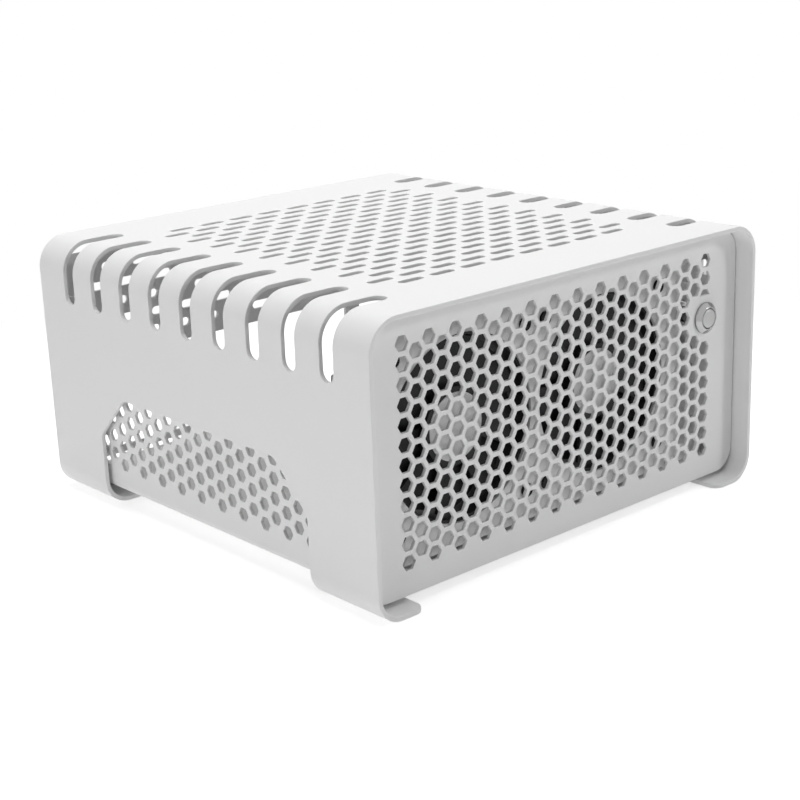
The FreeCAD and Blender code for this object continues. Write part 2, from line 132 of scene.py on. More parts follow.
def cut_sheet(name, outlines, sheet, edge, fold_lines, fold):
    """Coated sheet: flat outlines with their holes, split along u at fold_lines, then folded.

    fold takes (u, v, depth below the outer face) and gives the place in the frame.
    Slivers of no width, which the fill leaves between holes in line, are dissolved before the fold.
    Faces square to an axis stay flat-shaded, so that the flats don't take up the edges' slopes.
    """
    curve = bpy.data.curves.new(name, "CURVE")
    curve.dimensions = "2D"
    curve.fill_mode = "BOTH"
    curve.extrude = sheet / 2 - edge
    curve.bevel_depth = edge
    curve.bevel_resolution = 1
    curve.offset = -edge
    for points in outlines:
        spline = curve.splines.new("POLY")
        spline.points.add(len(points) - 1)
        for place, point in zip(spline.points, points):
            place.co = (point.x, point.y, 0, 1)
        spline.use_cyclic_u = True
    flat = bpy.data.objects.new(name + "_flat", curve)
    bpy.context.scene.collection.objects.link(flat)
    bpy.context.view_layer.update()
    mesh = bpy.data.meshes.new_from_object(flat.evaluated_get(bpy.context.evaluated_depsgraph_get()))
    bpy.data.objects.remove(flat)
    bpy.data.curves.remove(curve)
    work = bmesh.new()
    work.from_mesh(mesh)
    bmesh.ops.remove_doubles(work, verts=work.verts, dist=MERGE_DISTANCE)
    for line in fold_lines:
        everything = work.verts[:] + work.edges[:] + work.faces[:]
        bmesh.ops.bisect_plane(work, geom=everything, plane_co=(line, 0, 0), plane_no=(1, 0, 0))
    bmesh.ops.dissolve_degenerate(work, dist=MERGE_DISTANCE, edges=work.edges)
    for vert in work.verts:
        vert.co = fold(vert.co.x, vert.co.y, sheet / 2 - vert.co.z)
    bmesh.ops.recalc_face_normals(work, faces=work.faces)
    work.normal_update()
    for face in work.faces:
        face.smooth = max(abs(part) for part in face.normal) < SQUARE_FACE
    for line in work.edges:
        line.smooth = line.calc_face_angle(0) < SHARP_ANGLE
    work.to_mesh(mesh)
    work.free()
    mesh.name = name
    piece = bpy.data.objects.new(name, mesh)
    bpy.context.scene.collection.objects.link(piece)
    return piece


def fold_shell(u, v, depth):
    side = 1 if u >= 0 else -1
    u = abs(u)
    if u <= top_flat:
        x, z = u, shell_top - depth
    elif u <= side_start:
        angle = (u - top_flat) / SHELL_BEND
        x = top_flat + (SHELL_BEND - depth) * math.sin(angle)
        z = shell_top - SHELL_BEND + (SHELL_BEND - depth) * math.cos(angle)
    elif u <= foot_start:
        x, z = shell_half - depth, shell_top - SHELL_BEND - (u - side_start)
    elif u <= tab_start:
        angle = (u - foot_start) / FOOT_BEND
        x = shell_half - FOOT_BEND + (FOOT_BEND - depth) * math.cos(angle)
        z = FOOT_BEND - (FOOT_BEND - depth) * math.sin(angle)
    else:
        x, z = shell_half - FOOT_BEND - (u - tab_start), depth
    return Vector((side * x, v, z))


def shell_side_corners(side):
    """Corners of one long edge of the flat shell, from the front foot to the rear foot."""
    foot_end = shell_end - FOOT_LENGTH
    cutout = side_start + (shell_top - SHELL_BEND - CUTOUT_TOP)
    front = [
        (side * tab_end, -shell_end, TAB_CORNER),
        (side * tab_end, -foot_end, TAB_CORNER),
        (side * (cutout + CUTOUT_CHAMFER), -foot_end, CUTOUT_CORNER),
        (side * cutout, -foot_end + CUTOUT_CHAMFER, CUTOUT_CORNER),
    ]
    return front + [(u, -v, radius) for u, v, radius in reversed(front)]


def bend_lines(start, run, count):
    """Fold lines through one bend, with one more just outside each end to keep the flats flat."""
    lines = [start - COAT_EDGE, start + run + COAT_EDGE]
    lines += [start + run * step / count for step in range(count + 1)]
    return lines + [-line for line in lines]


def vent_outlines(rows, columns, middle_u, middle_v):
    """Staggered rows of round-ended vents about a middle; every second row has one more."""
    outlines = []
    for row in range(rows):
        count = columns + row % 2
        vent_v = middle_v + (row - (rows - 1) / 2) * VENT_ROW_PITCH
        for column in range(count):
            vent_u = middle_u + (column - (count - 1) / 2) * VENT_PITCH
            outlines.append(slot_outline(vent_u, vent_v, VENT_LENGTH, VENT_WIDTH))
    return outlines


left_edge = [(u, -v, radius) for u, v, radius in shell_side_corners(-1)]
shell_outlines = [rounded_outline(shell_side_corners(1) + left_edge)]
shell_outlines += vent_outlines(VENT_ROWS, VENT_COLUMNS, 0, 0)
foot_screw_u = tab_start + FOOT_SCREW_INSET - FOOT_BEND
foot_screw_y = shell_end - FOOT_SCREW_END
slot_from = shell_half - SLOT_REACH
slot_to = side_start + SLOT_DROP - SHELL_BEND
for side in (-1, 1):
    for index in range(SLOT_COUNT):
        slot_y = (index - (SLOT_COUNT - 1) / 2) * SLOT_PITCH
        middle = side * (slot_from + slot_to) / 2
        shell_outlines.append(slot_outline(middle, slot_y, slot_to - slot_from, SLOT_WIDTH))
    for end in (-1, 1):
        shell_outlines.append(slot_outline(
            side * foot_screw_u, end * foot_screw_y, FOOT_SCREW_HOLE, FOOT_SCREW_HOLE, steps=16))
shell_lines = bend_lines(top_flat, bend_run, SHELL_BEND_STEPS)
shell_lines += bend_lines(foot_start, foot_run, FOOT_BEND_STEPS)
shell = cut_sheet("shell_coated", shell_outlines, SHELL_SHEET, COAT_EDGE, shell_lines, fold_shell)


def powder_coat_group():
    """Node group of a powder coat: colour a little uneven, fine orange peel as a normal, roughness."""
    group = bpy.data.node_groups.new("powder_coat", "ShaderNodeTree")
    group.interface.new_socket("Color", in_out="INPUT", socket_type="NodeSocketColor")
    group.interface.new_socket("Color", in_out="OUTPUT", socket_type="NodeSocketColor")
    group.interface.new_socket("Roughness", in_out="OUTPUT", socket_type="NodeSocketFloat")
    group.interface.new_socket("Normal", in_out="OUTPUT", socket_type="NodeSocketVector")
    nodes = group.nodes
    given = nodes.new("NodeGroupInput")
    result = nodes.new("NodeGroupOutput")
    place = nodes.new("ShaderNodeTexCoord")
    peel = nodes.new("ShaderNodeTexNoise")
    peel.inputs["Scale"].default_value = PEEL_SCALE
    peel.inputs["Detail"].default_value = 2
    cloud = nodes.new("ShaderNodeTexNoise")
    cloud.inputs["Scale"].default_value = CLOUD_SCALE
    cloud.inputs["Detail"].default_value = 3
    bump = nodes.new("ShaderNodeBump")
    bump.inputs["Strength"].default_value = PEEL_STRENGTH
    bump.inputs["Distance"].default_value = PEEL_DEPTH
    shade = nodes.new("ShaderNodeMapRange")
    shade.inputs["To Min"].default_value = COAT_DARKEST
    shade.inputs["To Max"].default_value = 1.0
    tint = nodes.new("ShaderNodeVectorMath")
    tint.operation = "SCALE"
    rough = nodes.new("ShaderNodeMapRange")
    rough.inputs["To Min"].default_value = COAT_SMOOTHEST
    rough.inputs["To Max"].default_value = COAT_ROUGHEST
    link = group.links.new
    link(place.outputs["Object"], peel.inputs["Vector"])
    link(place.outputs["Object"], cloud.inputs["Vector"])
    link(peel.outputs["Fac"], bump.inputs["Height"])
    link(cloud.outputs["Fac"], shade.inputs["Value"])
    link(given.outputs["Color"], tint.inputs[0])
    link(shade.outputs["Result"], tint.inputs["Scale"])
    link(cloud.outputs["Fac"], rough.inputs["Value"])
    link(tint.outputs["Vector"], result.inputs["Color"])
    link(rough.outputs["Result"], result.inputs["Roughness"])
    link(bump.outputs["Normal"], result.inputs["Normal"])
    return group


def coat_material(name, colour):
    material = bpy.data.materials.new(name)
    material.use_nodes = True
    nodes = material.node_tree.nodes
    shader = nodes["Principled BSDF"]
    coat = nodes.new("ShaderNodeGroup")
    coat.node_tree = powder_coat_group()
    coat.inputs["Color"].default_value = (*colour, 1)
    for output in ("Roughness", "Normal"):
        material.node_tree.links.new(coat.outputs[output], shader.inputs[output])
    material.node_tree.links.new(coat.outputs["Color"], shader.inputs["Base Color"])
    return material


white_coat = coat_material("white_coat", COAT_WHITE)


def dress_sheet(piece, node):
    """Coats a cut sheet, which stands for its node and is fixed to the case."""
    piece.data.materials.append(white_coat)
    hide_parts(node)
    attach(piece, "case")


dress_sheet(shell, "outer_shell")


# Front panel: a flat sheet cut as a honeycomb, coated white, set back inside the shell's front edge.
# Posts pressed in its back hold it off the fan wall. The comb leaves room round the push button.
COMB_COLUMNS = 27
COMB_ROWS = 12
COMB_PITCH = 0.008
COMB_HOLE = 0.006
COMB_MIDDLE = 0.0615
HEX_CORNER = 0.0004
PANEL_CORNER = 0.010
BARREL_HOLE = 0.0121
BUTTON_KEEP_OUT = 0.0096
BUTTON_KEEP_RISE = 0.001

panel_low, panel_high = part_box("front_panel")
bezel_low, bezel_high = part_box("button_body")
button_x = (bezel_low.x + bezel_high.x) / 2
button_z = (bezel_low.z + bezel_high.z) / 2
panel_top_corner = SHELL_BEND - SHELL_SHEET - (shell_high.z - SHELL_SHEET - panel_high.z)
keep_out = Vector((button_x, button_z + BUTTON_KEEP_RISE))


def hexagon_outline(u, v, flats, corner):
    """Hexagon with flats above and below and corners a little rounded."""
    corners = []
    for step in range(6):
        angle = math.pi / 3 * step
        reach = flats / math.sqrt(3)
        corners.append((u + reach * math.cos(angle), v + reach * math.sin(angle), corner))
    return rounded_outline(corners, steps=2)


def clear_of_button(outline):
    """Hexagon whose points inside the keep-out circle are pushed out to the circle."""
    kept = []
    for point in outline:
        away = point - keep_out
        kept.append(keep_out + away * max(1, BUTTON_KEEP_OUT / away.length))
    return kept


def place_panel(u, v, depth):
    return Vector((u, panel_low.y + depth, v))


panel_outlines = [rounded_outline([
    (panel_low.x, panel_low.z, PANEL_CORNER),
    (panel_high.x, panel_low.z, PANEL_CORNER),
    (panel_high.x, panel_high.z, panel_top_corner),
    (panel_low.x, panel_high.z, panel_top_corner),
], steps=12)]
panel_outlines.append(slot_outline(button_x, button_z, BARREL_HOLE, BARREL_HOLE, steps=20))
for column in range(COMB_COLUMNS):
    rows = COMB_ROWS - column % 2
    hex_x = (column - (COMB_COLUMNS - 1) / 2) * COMB_PITCH * math.sqrt(3) / 2
    for row in range(rows):
        hex_z = COMB_MIDDLE + ((rows - 1) / 2 - row) * COMB_PITCH
        outline = hexagon_outline(hex_x, hex_z, COMB_HOLE, HEX_CORNER)
        distance = (Vector((hex_x, hex_z)) - keep_out).length
        above = hex_z > keep_out.y and abs(hex_x - button_x) < COMB_PITCH / 2
        if distance > BUTTON_KEEP_OUT + COMB_HOLE / 2:
            panel_outlines.append(outline)
        elif above and distance > BUTTON_KEEP_OUT - COMB_HOLE / 2:
            panel_outlines.append(clear_of_button(outline))
panel_sheet = panel_high.y - panel_low.y
panel = cut_sheet("panel_coated", panel_outlines, panel_sheet, COAT_EDGE / 2, [], place_panel)
dress_sheet(panel, "front_panel")


# Inner tray: floor and two sides folded from one coated sheet, perforated with small hexagons.
# It stands on spacers over the foot tabs and shows through the cut-outs between the feet.
TRAY_SHEET = 0.0015
TRAY_BEND = 0.004
TRAY_BEND_STEPS = 6
SIDE_COLUMNS = 25
SIDE_ROWS = 7
SIDE_COLUMN_PITCH = 0.00741
SIDE_ROW_PITCH = 0.00856
SIDE_HOLE = 0.0055
SIDE_LOW = 0.0219
SIDE_MIDDLE = 0.0033

tray_low, tray_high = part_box("chassis_tray")
tray_half = tray_high.x
floor_flat = tray_half - TRAY_BEND
tray_run = math.pi / 2 * TRAY_BEND
wall_start = floor_flat + tray_run
wall_end = wall_start + tray_high.z - tray_low.z - TRAY_BEND


def fold_tray(u, v, depth):
    side = 1 if u >= 0 else -1
    u = abs(u)
    if u <= floor_flat:
        x, z = u, tray_low.z + depth
    elif u <= wall_start:
        angle = (u - floor_flat) / TRAY_BEND
        x = floor_flat + (TRAY_BEND - depth) * math.sin(angle)
        z = tray_low.z + TRAY_BEND - (TRAY_BEND - depth) * math.cos(angle)
    else:
        x, z = tray_half - depth, tray_low.z + TRAY_BEND + u - wall_start
    return Vector((side * x, v, z))


def box_outline(u_low, u_high, v_low, v_high, radius):
    corners = [(u_low, v_low), (u_high, v_low), (u_high, v_high), (u_low, v_high)]
    return rounded_outline([(u, v, radius) for u, v in corners])


tray_outlines = [box_outline(-wall_end, wall_end, tray_low.y, tray_high.y, 0)]
for side in (-1, 1):
    for column in range(SIDE_COLUMNS):
        hex_y = SIDE_MIDDLE + (column - (SIDE_COLUMNS - 1) / 2) * SIDE_COLUMN_PITCH
        for row in range(SIDE_ROWS):
            hex_z = SIDE_LOW + (row + column % 2 / 2) * SIDE_ROW_PITCH
            hex_u = side * (wall_start + hex_z - tray_low.z - TRAY_BEND)
            outline = hexagon_outline(hex_y, hex_u, SIDE_HOLE, HEX_CORNER)
            tray_outlines.append([Vector((point.y, point.x)) for point in outline])
tray_lines = bend_lines(floor_flat, tray_run, TRAY_BEND_STEPS)
tray = cut_sheet("tray_coated", tray_outlines, TRAY_SHEET, COAT_EDGE / 2, tray_lines, fold_tray)
dress_sheet(tray, "chassis_tray")


# Fan wall and rear panel: folded coated sheets with return flanges fixed to the sides of the tray.
# The fan wall carries both fans behind the honeycomb, with a narrow slot beside them.
# The rear panel has a wide opening for ports with vents over it, and a tall opening at its side.
WALL_BEND = 0.0025
WALL_BEND_STEPS = 5
WALL_SHEET = 0.0015
WALL_FLANGE = 0.012
WALL_FLANGE_TOP = 0.094
WALL_CORNER = 0.0015
WALL_OPENING = 0.0785
CABLE_SLOT_INNER = 0.0075
CABLE_SLOT_OUTER = 0.013
CABLE_SLOT_HEIGHT = 0.084
CABLE_SLOT_CORNER = 0.003
PORT_MIDDLE = -0.022
PORT_WIDTH = 0.15875
PORT_LOW = 0.0155
PORT_HIGH = 0.05995
SUPPLY_LEFT = 0.067
SUPPLY_RIGHT = 0.103
SUPPLY_LOW = 0.014
SUPPLY_HIGH = 0.090
PORT_CORNER = 0.001
REAR_VENT_ROWS = 5
REAR_VENT_COLUMNS = 8

wall_low, wall_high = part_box("fan_wall")
rear_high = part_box("rear_panel")[1]
wall_flat = wall_high.x - WALL_BEND
wall_bend_run = math.pi / 2 * WALL_BEND
wall_reach = wall_flat + wall_bend_run + WALL_FLANGE - WALL_BEND


def wall_fold(face_y, back):
    """Fold of a plate whose outer face is at face_y; back is the way along Y that its flanges point."""
    def fold(u, v, depth):
        side = 1 if u >= 0 else -1
        u = abs(u)
        if u <= wall_flat:
            x, y = u, depth
        elif u <= wall_flat + wall_bend_run:
            angle = (u - wall_flat) / WALL_BEND
            x = wall_flat + (WALL_BEND - depth) * math.sin(angle)
            y = WALL_BEND - (WALL_BEND - depth) * math.cos(angle)
        else:
            x, y = wall_high.x - depth, WALL_BEND + u - wall_flat - wall_bend_run
        return Vector((side * x, face_y + back * y, v))
    return fold


def wall_outline():
    """Flat outline of a wall: the plate rises past its flanges."""
    lip = wall_flat + wall_bend_run
    right = [
        (wall_reach, wall_low.z, WALL_CORNER),
        (wall_reach, WALL_FLANGE_TOP, WALL_CORNER),
        (lip, WALL_FLANGE_TOP, 0),
        (lip, wall_high.z, 0),
    ]
    return rounded_outline(right + [(-u, v, radius) for u, v, radius in reversed(right)])


wall_outlines = [wall_outline()]
for fan in ("left", "right"):
    fan_low, fan_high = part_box("fan_%s_frame" % fan)
    fan_middle = (fan_low + fan_high) / 2
    wall_outlines.append(slot_outline(fan_middle.x, fan_middle.z, WALL_OPENING, WALL_OPENING, steps=48))
wall_outlines.append(box_outline(
    button_x - CABLE_SLOT_INNER, button_x + CABLE_SLOT_OUTER,
    fan_middle.z - CABLE_SLOT_HEIGHT / 2, fan_middle.z + CABLE_SLOT_HEIGHT / 2, CABLE_SLOT_CORNER))
port_left = PORT_MIDDLE - PORT_WIDTH / 2
port_right = PORT_MIDDLE + PORT_WIDTH / 2
rear_outlines = [
    wall_outline(),
    box_outline(port_left, port_right, PORT_LOW, PORT_HIGH, PORT_CORNER),
    box_outline(SUPPLY_LEFT, SUPPLY_RIGHT, SUPPLY_LOW, SUPPLY_HIGH, PORT_CORNER),
]
rear_outlines += vent_outlines(
    REAR_VENT_ROWS, REAR_VENT_COLUMNS, PORT_MIDDLE, (PORT_HIGH + rear_high.z) / 2)
wall_lines = bend_lines(wall_flat, wall_bend_run, WALL_BEND_STEPS)
for node, outlines, face_y, back in (
        ("fan_wall", wall_outlines, wall_low.y, 1),
        ("rear_panel", rear_outlines, rear_high.y, -1)):
    piece = cut_sheet(
        node + "_coated", outlines, WALL_SHEET, COAT_EDGE / 2, wall_lines, wall_fold(face_y, back))
    dress_sheet(piece, node)


# Fans: square frames and bladed rotors, injection-moulded in black plastic, with a grey disc on each hub.
# Each rotor turns on a steel shaft in a brass sleeve pressed in the motor seat of its frame.
HUB_DISC = 0.0143
HUB_DISC_SHEET = 0.0003
FAN_HOLE = 0.03575
FAN_BLACK = (0.008, 0.008, 0.009)
HUB_GREY = (0.82, 0.82, 0.82)
BRASS = (0.72, 0.55, 0.25)
GRAIN_SCALE = 1500
GRAIN_STRENGTH = 0.15
GRAIN_DEPTH = 0.0001
GRAIN_PLAY = 0.06


def fine_grain_group():
    """Node group of a fine even grain: a normal, and a roughness that plays a little about its middle."""
    group = bpy.data.node_groups.new("fine_grain", "ShaderNodeTree")
    group.interface.new_socket("Roughness", in_out="INPUT", socket_type="NodeSocketFloat")
    group.interface.new_socket("Roughness", in_out="OUTPUT", socket_type="NodeSocketFloat")
    group.interface.new_socket("Normal", in_out="OUTPUT", socket_type="NodeSocketVector")
    nodes = group.nodes
    given = nodes.new("NodeGroupInput")
    result = nodes.new("NodeGroupOutput")
    place = nodes.new("ShaderNodeTexCoord")
    grain = nodes.new("ShaderNodeTexNoise")
    grain.inputs["Scale"].default_value = GRAIN_SCALE
    bump = nodes.new("ShaderNodeBump")
    bump.inputs["Strength"].default_value = GRAIN_STRENGTH
    bump.inputs["Distance"].default_value = GRAIN_DEPTH
    play = nodes.new("ShaderNodeMapRange")
    link = group.links.new
    for bound, step in (("To Min", -GRAIN_PLAY), ("To Max", GRAIN_PLAY)):
        limit = nodes.new("ShaderNodeMath")
        limit.operation = "ADD"
        limit.inputs[1].default_value = step
        link(given.outputs["Roughness"], limit.inputs[0])
        link(limit.outputs["Value"], play.inputs[bound])
    link(place.outputs["Object"], grain.inputs["Vector"])
    link(grain.outputs["Fac"], bump.inputs["Height"])
    link(grain.outputs["Fac"], play.inputs["Value"])
    link(play.outputs["Result"], result.inputs["Roughness"])
    link(bump.outputs["Normal"], result.inputs["Normal"])
    return group


fine_grain = fine_grain_group()


def finished_material(name, colour, metal, group, values):
    """Plain colour, as plastic (metal 0) or metal (1), with roughness and normal from a node group."""
    material = bpy.data.materials.new(name)
    material.use_nodes = True
    nodes = material.node_tree.nodes
    shader = nodes["Principled BSDF"]
    shader.inputs["Base Color"].default_value = (*colour, 1)
    shader.inputs["Metallic"].default_value = metal
    finish = nodes.new("ShaderNodeGroup")
    finish.node_tree = group
    for socket, value in values.items():
        finish.inputs[socket].default_value = value
    for output in ("Roughness", "Normal"):
        material.node_tree.links.new(finish.outputs[output], shader.inputs[output])
    return material


fan_black = finished_material("fan_black", FAN_BLACK, 0, fine_grain, {"Roughness": 0.5})
hub_grey = finished_material("hub_grey", HUB_GREY, 0, fine_grain, {"Roughness": 0.55})
bearing_brass = finished_material("bearing_brass", BRASS, 1, fine_grain, {"Roughness": 0.35})
screw_places = []
for fan in ("left", "right"):
    for part, material in (("frame", fan_black), ("rotor", fan_black), ("bearing", bearing_brass)):
        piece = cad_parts["fan_%s_%s" % (fan, part)]
        piece.data.materials.clear()
        piece.data.materials.append(material)
    rotor_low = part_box("fan_%s_rotor" % fan)[0]
    fan_low, fan_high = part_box("fan_%s_frame" % fan)
    fan_middle = (fan_low + fan_high) / 2
    disc_mesh = bpy.data.meshes.new("fan_%s_disc" % fan)
    work = bmesh.new()
    bmesh.ops.create_cone(
        work, cap_ends=True, segments=48, radius1=HUB_DISC, radius2=HUB_DISC, depth=HUB_DISC_SHEET)
    work.to_mesh(disc_mesh)
    work.free()
    disc = bpy.data.objects.new("fan_%s_disc" % fan, disc_mesh)
    bpy.context.scene.collection.objects.link(disc)
    disc.rotation_euler.x = math.pi / 2
    disc.location = (fan_middle.x, rotor_low.y - HUB_DISC_SHEET / 2, fan_middle.z)
    disc.data.materials.append(hub_grey)
    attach(disc, fan + "_rotor")
    for side in (-1, 1):
        for end in (-1, 1):
            screw_places.append((fan_middle.x + side * FAN_HOLE, fan_middle.z + end * FAN_HOLE))


# Fan screws: black steel with a low head and a six-sided socket, one in each corner of each fan.
# They go through the fan wall from the front and cut their own thread in the fan's plastic.
SCREW_HEAD = 0.006
SCREW_HEAD_HEIGHT = 0.0012
SCREW_EDGE = 0.0002
SOCKET = 0.0025
SOCKET_CORNER = 0.000125
SOCKET_FLOOR = 0.0004
SOCKET_FLOOR_SIDES = 12
BLACK_STEEL = (0.03, 0.03, 0.03)


def screw_heads(name, places, height, seat):
    """Heads with sockets; seat takes (u, v, depth below the head's top) and gives the place in the frame."""
    outlines = []
    for u, v in places:
        outlines.append(slot_outline(u, v, SCREW_HEAD, SCREW_HEAD, steps=16))
        outlines.append(hexagon_outline(u, v, SOCKET, SOCKET_CORNER))
    heads = cut_sheet(name, outlines, height, SCREW_EDGE, [], seat)
    work = bmesh.new()
    work.from_mesh(heads.data)
    for u, v in places:
        ring = []
        for step in range(SOCKET_FLOOR_SIDES):
            angle = 2 * math.pi / SOCKET_FLOOR_SIDES * step
            ring.append((u + SOCKET * math.cos(angle), v + SOCKET * math.sin(angle)))
        upper = [work.verts.new(seat(*point, height - SOCKET_FLOOR)) for point in ring]
        lower = [work.verts.new(seat(*point, height)) for point in ring]
        faces = [work.faces.new(upper), work.faces.new(lower)]
        for index in range(SOCKET_FLOOR_SIDES):
            faces.append(work.faces.new((upper[index - 1], upper[index], lower[index], lower[index - 1])))
        bmesh.ops.recalc_face_normals(work, faces=faces)
    work.to_mesh(heads.data)
    work.free()
    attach(heads, "case")
    return heads


def seat_on_wall(u, v, depth):
    return Vector((u, wall_low.y - SCREW_HEAD_HEIGHT + depth, v))


black_steel = finished_material("black_steel", BLACK_STEEL, 1, fine_grain, {"Roughness": 0.4})
fan_screws = screw_heads("fan_screws", screw_places, SCREW_HEAD_HEIGHT, seat_on_wall)
fan_screws.data.materials.append(black_steel)


# Push button: turned stainless steel, a polished, bevelled bezel on a barrel with a nut behind the panel.
# The plunger in its middle is pushed in against a spring; its face keeps the fine rings of the lathe.
BEZEL_SLOPE_RUN = 0.002
BEZEL_SLOPE_RISE = 0.0016
BARREL = 0.0059
PLUNGER_GAP = 0.0003
PLUNGER_TRAVEL = 0.0012
BUTTON_EDGE = 0.0002
PLUNGER_EDGE = 0.0005
TURN_STEPS = 72
RING_SCALE = 9000
RING_DEPTH = 0.00002
RING_PLAY = 0.04
# Both steel colours are darker than real stainless steel: a painted dark reflection of the surroundings is
# laid into the base colour.
POLISHED_STEEL_PAINTED_DARK = (0.38, 0.38, 0.38)
TURNED_STEEL_PAINTED_DARK = (0.42, 0.42, 0.42)


def lathe_rings_group():
    """Node group of lathe rings about a piece's own Y axis: a fine bump, with a little play in roughness."""
    group = bpy.data.node_groups.new("lathe_rings", "ShaderNodeTree")
    group.interface.new_socket("Roughness", in_out="INPUT", socket_type="NodeSocketFloat")
    group.interface.new_socket("Strength", in_out="INPUT", socket_type="NodeSocketFloat")
    group.interface.new_socket("Roughness", in_out="OUTPUT", socket_type="NodeSocketFloat")
    group.interface.new_socket("Normal", in_out="OUTPUT", socket_type="NodeSocketVector")
    nodes = group.nodes
    given = nodes.new("NodeGroupInput")
    result = nodes.new("NodeGroupOutput")
    place = nodes.new("ShaderNodeTexCoord")
    flat = nodes.new("ShaderNodeVectorMath")
    flat.operation = "MULTIPLY"
    flat.inputs[1].default_value = (1, 0, 1)
    radius = nodes.new("ShaderNodeVectorMath")
    radius.operation = "LENGTH"
    rings = nodes.new("ShaderNodeTexNoise")
    rings.noise_dimensions = "1D"
    rings.inputs["Scale"].default_value = RING_SCALE
    bump = nodes.new("ShaderNodeBump")
    bump.inputs["Distance"].default_value = RING_DEPTH
    play = nodes.new("ShaderNodeMapRange")
    link = group.links.new
    for bound, step in (("To Min", -RING_PLAY), ("To Max", RING_PLAY)):
        limit = nodes.new("ShaderNodeMath")
        limit.operation = "ADD"
        limit.inputs[1].default_value = step
        link(given.outputs["Roughness"], limit.inputs[0])
        link(limit.outputs["Value"], play.inputs[bound])
    link(given.outputs["Strength"], bump.inputs["Strength"])
    link(place.outputs["Object"], flat.inputs[0])
    link(flat.outputs["Vector"], radius.inputs[0])
    link(radius.outputs["Value"], rings.inputs["W"])
    link(rings.outputs["Fac"], bump.inputs["Height"])
    link(rings.outputs["Fac"], play.inputs["Value"])
    link(play.outputs["Result"], result.inputs["Roughness"])
    link(bump.outputs["Normal"], result.inputs["Normal"])
    return group


def turned_piece(name, corners, material, node, body):
    """Piece turned about the button's axis, from (radius, y, edge radius) corners of its half section."""
    mesh = bpy.data.meshes.new(name)
    work = bmesh.new()
    chain = [work.verts.new((point.x, point.y, 0)) for point in rounded_outline(corners, steps=4)]
    edges = []
    for index, vert in enumerate(chain):
        if max(vert.co.x, chain[index - 1].co.x) > MERGE_DISTANCE:
            edges.append(work.edges.new((chain[index - 1], vert)))
    bmesh.ops.spin(
        work, geom=chain + edges, cent=(0, 0, 0), axis=(0, 1, 0),
        angle=2 * math.pi, steps=TURN_STEPS, use_merge=True)
    bmesh.ops.remove_doubles(work, verts=work.verts, dist=MERGE_DISTANCE / 10)
    bmesh.ops.recalc_face_normals(work, faces=work.faces)
    work.to_mesh(mesh)
    work.free()
    mesh.set_sharp_from_angle(angle=SHARP_ANGLE)
    mesh.materials.append(material)
    piece = bpy.data.objects.new(name, mesh)
    bpy.context.scene.collection.objects.link(piece)
    piece.location = (button_x, 0, button_z)
    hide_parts(node)
    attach(piece, body)


plunger_low, plunger_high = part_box("button_plunger")
bezel_radius = (bezel_high.x - bezel_low.x) / 2
plunger_radius = (plunger_high.x - plunger_low.x) / 2
bore_radius = plunger_radius + PLUNGER_GAP
well_y = bezel_low.y + plunger_high.y - plunger_low.y + PLUNGER_TRAVEL + PLUNGER_GAP
lathe_rings = lathe_rings_group()
# The polished bezel and the turned cap carry that painted dark reflection in their base colours.
polished_steel_painted_dark = finished_material(
    "polished_steel_painted_dark", POLISHED_STEEL_PAINTED_DARK, 1, lathe_rings, {"Roughness": 0.12, "Strength": 0.05})
turned_steel_painted_dark = finished_material(
    "turned_steel_painted_dark", TURNED_STEEL_PAINTED_DARK, 1, lathe_rings, {"Roughness": 0.3, "Strength": 0.25})
turned_piece("button_bezel", [
    (bore_radius, bezel_low.y, BUTTON_EDGE),
    (bezel_radius - BEZEL_SLOPE_RUN, bezel_low.y, BUTTON_EDGE),
    (bezel_radius, bezel_low.y + BEZEL_SLOPE_RISE, BUTTON_EDGE),
    (bezel_radius, panel_low.y, 0),
    (BARREL, panel_low.y, 0),
    (BARREL, bezel_high.y, BUTTON_EDGE),
    (0, bezel_high.y, 0),
    (0, well_y, 0),
    (bore_radius, well_y, 0),
], polished_steel_painted_dark, "button_body", "case")
turned_piece("button_cap", [
    (0, plunger_low.y, 0),
    (plunger_radius, plunger_low.y, PLUNGER_EDGE),
    (plunger_radius, plunger_high.y, 0),
    (0, plunger_high.y, 0),
], turned_steel_painted_dark, "button_plunger", "power_button")


# Posts, spacers, nut and solder tags: small plated steel pieces that hold panel, tray and shell apart.
# They are turned or stamped, then zinc-plated, and all sit inside the case.
ZINC = (0.6, 0.6, 0.62)
plated_steel = finished_material("plated_steel", ZINC, 1, fine_grain, {"Roughness": 0.35})
for node in ("panel_standoffs", "foot_spacers", "board_standoffs", "button_nut", "button_terminals"):
    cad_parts[node].data.materials.clear()
    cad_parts[node].data.materials.append(plated_steel)


# Foot screws: plated steel screws with the same heads, sunk in the holes of the four foot tabs.
# They go up into the spacers and hold the shell to the tray; they stay clear of the table.
FOOT_SCREW_SINK = 0.0003
foot_screw_places = []
for side in (-1, 1):
    for end in (-1, 1):
        foot_screw_places.append((side * (shell_half - FOOT_SCREW_INSET), end * foot_screw_y))


def seat_in_foot(u, v, depth):
    return Vector((u, v, FOOT_SCREW_SINK + depth))


foot_screws = screw_heads("foot_screws", foot_screw_places, SHELL_SHEET - FOOT_SCREW_SINK, seat_in_foot)
foot_screws.data.materials.append(plated_steel)


# Stage: a pale floor that shows as white, with the case's soft shadow round its feet.
# It is clear from below, as a light table is, and lets a weak lamp through to the feet and the tray's floor.
# Soft light comes from overhead, from the left and from the right of the front, where it edges the panel.
FLOOR_SIZE = 4.0
FLOOR_GAP = 0.0001
FLOOR_PALE = (0.9, 0.9, 0.9)
FLOOR_ROUGHNESS = 0.9
FLOOR_LIFT = 0.5
SHADOW_NEAR = 0.24
SHADOW_FAR = 0.42
AMBIENT = 0.12
LAMPS = (
    ("top_light", (0.1, 0.2, 1.4), 1.2, 16),
    ("left_light", (-1.3, -0.1, 0.5), 0.9, 4.4),
    ("front_light", (1.5, -1.75, 1.25), 0.45, 14.5),
    ("under_light", (0, 0, -1.2), 1.2, 5),
)


